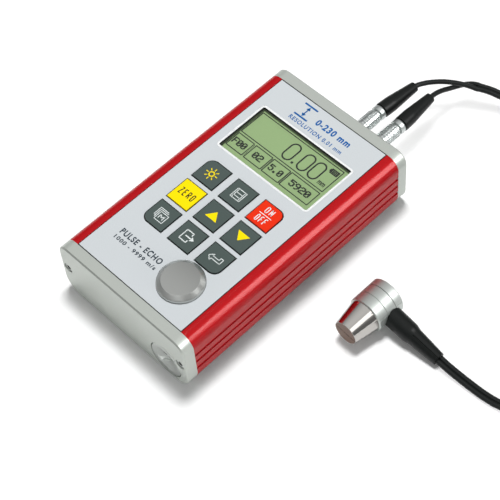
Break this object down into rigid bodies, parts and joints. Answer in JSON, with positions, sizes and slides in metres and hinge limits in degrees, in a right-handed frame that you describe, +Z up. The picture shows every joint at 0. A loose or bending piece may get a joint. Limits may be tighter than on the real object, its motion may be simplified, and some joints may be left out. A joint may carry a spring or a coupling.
{
  "type": "ultrasonic thickness gauge",
  "caption": "Hand-held ultrasonic thickness gauge: extruded body with end caps, keypad, display and steel reference disc, with a round angled probe on a twin lead.",
  "frame": {"origin": "centre of the gauge's flat underside", "axes": "+Z up through the face, +Y along the gauge towards the connector end, +X towards the battery side and the probe"},
  "size_m": [0.1903, 0.2061, 0.035],
  "materials": {
    "red_anodised": "anodised red, satin",
    "satin_aluminium": "fine blasted, satin",
    "steel": "plain",
    "ground_steel": "turned and ground face",
    "overlay": "silver grey, fine texture",
    "clear_pane": "clear, polished",
    "lcd": "reflective display, grey green",
    "board": "solder mask",
    "black_plastic": "moulded",
    "cell_jacket": "shrink film",
    "brass": "plain",
    "black_rubber": "moulded, matt",
    "cord_jacket": "extruded jacket, matt",
    "tie_strap": "woven strap",
    "polished_chrome": "polished",
    "turned_silver": "turned, satin",
    "delay_resin": "lapped resin",
    "nickel": "satin nickel",
    "key_grey": "fine texture",
    "key_yellow": "fine texture",
    "key_red": "fine texture"
  },
  "bodies": {
    "gauge": {"housing_extrusion": "red_anodised", "front_end_cap": "satin_aluminium", "rear_end_cap": "satin_aluminium", "front_screws": "steel", "rear_screws": "steel", "face_overlay": "overlay", "display_pane": "clear_pane", "lcd_module": "lcd", "lcd_frame": "steel", "main_board": "board", "key_domes": "steel", "reference_disc": "ground_steel", "battery_sleeve": "black_plastic", "battery_cells": "cell_jacket", "battery_contact": "brass", "socket_a": "nickel", "socket_b": "nickel", "socket_nut_a": "nickel", "socket_nut_b": "nickel", "plug_body_a": "nickel", "plug_body_b": "nickel", "plug_nut_a": "nickel", "plug_nut_b": "nickel", "plug_boot_a": "black_rubber", "plug_boot_b": "black_rubber", "lead_a": "cord_jacket", "lead_b": "cord_jacket", "cord_gauge_side": "cord_jacket", "cord_coil": "cord_jacket", "cord_tie": "tie_strap", "cord_probe_side": "cord_jacket", "probe_nose": "polished_chrome", "probe_delay_blocks": "delay_resin", "probe_barrier": "black_plastic", "probe_case": "turned_silver", "probe_back": "turned_silver", "probe_boot": "black_rubber"},
    "key_light": {"key_light": "key_grey"},
    "key_layer": {"key_layer": "key_grey"},
    "key_power": {"key_power": "key_red"},
    "key_zero": {"key_zero": "key_yellow"},
    "key_up": {"key_up": "key_grey"},
    "key_down": {"key_down": "key_grey"},
    "key_memory": {"key_memory": "key_grey"},
    "key_export": {"key_export": "key_grey"},
    "key_enter": {"key_enter": "key_grey"},
    "cap_seal": {"cap_o_ring": "black_rubber", "battery_spring": "steel"},
    "battery_cap": {"battery_cap": "satin_aluminium"},
    "plug_sleeve_a": {"plug_sleeve_a": "nickel"},
    "plug_sleeve_b": {"plug_sleeve_b": "nickel"}
  },
  "joints": [
    {"name": "key_light_press", "type": "slide", "parent": "gauge", "child": "key_light", "axis": [0, 0, 1], "range_m": [-0.0004, 0], "stiffness_N_per_m": 2000, "springref_m": 0.0003},
    {"name": "key_layer_press", "type": "slide", "parent": "gauge", "child": "key_layer", "axis": [0, 0, 1], "range_m": [-0.0004, 0], "stiffness_N_per_m": 2000, "springref_m": 0.0003},
    {"name": "key_power_press", "type": "slide", "parent": "gauge", "child": "key_power", "axis": [0, 0, 1], "range_m": [-0.0004, 0], "stiffness_N_per_m": 2000, "springref_m": 0.0003},
    {"name": "key_zero_press", "type": "slide", "parent": "gauge", "child": "key_zero", "axis": [0, 0, 1], "range_m": [-0.0004, 0], "stiffness_N_per_m": 2000, "springref_m": 0.0003},
    {"name": "key_up_press", "type": "slide", "parent": "gauge", "child": "key_up", "axis": [0, 0, 1], "range_m": [-0.0004, 0], "stiffness_N_per_m": 2000, "springref_m": 0.0003},
    {"name": "key_down_press", "type": "slide", "parent": "gauge", "child": "key_down", "axis": [0, 0, 1], "range_m": [-0.0004, 0], "stiffness_N_per_m": 2000, "springref_m": 0.0003},
    {"name": "key_memory_press", "type": "slide", "parent": "gauge", "child": "key_memory", "axis": [0, 0, 1], "range_m": [-0.0004, 0], "stiffness_N_per_m": 2000, "springref_m": 0.0003},
    {"name": "key_export_press", "type": "slide", "parent": "gauge", "child": "key_export", "axis": [0, 0, 1], "range_m": [-0.0004, 0], "stiffness_N_per_m": 2000, "springref_m": 0.0003},
    {"name": "key_enter_press", "type": "slide", "parent": "gauge", "child": "key_enter", "axis": [0, 0, 1], "range_m": [-0.0004, 0], "stiffness_N_per_m": 2000, "springref_m": 0.0003},
    {"name": "cap_lift", "type": "slide", "parent": "gauge", "child": "cap_seal", "axis": [0, -1, 0], "range_m": [0, 0.00487]},
    {"name": "cap_turn", "type": "hinge", "parent": "cap_seal", "child": "battery_cap", "pos_m": [0.0252, -0.066, 0.01], "axis": [0, -1, 0], "range_deg": [0, 1171]},
    {"name": "sleeve_a_pull", "type": "slide", "parent": "gauge", "child": "plug_sleeve_a", "axis": [0, 1, 0], "range_m": [0, 0.001], "stiffness_N_per_m": 800, "springref_m": -0.0008},
    {"name": "sleeve_b_pull", "type": "slide", "parent": "gauge", "child": "plug_sleeve_b", "axis": [0, 1, 0], "range_m": [0, 0.001], "stiffness_N_per_m": 800, "springref_m": -0.0008}
  ],
  "couplings": [
    {"joint": "cap_turn", "follows": "cap_lift", "rad_per_m": 4188.8}
  ]
}
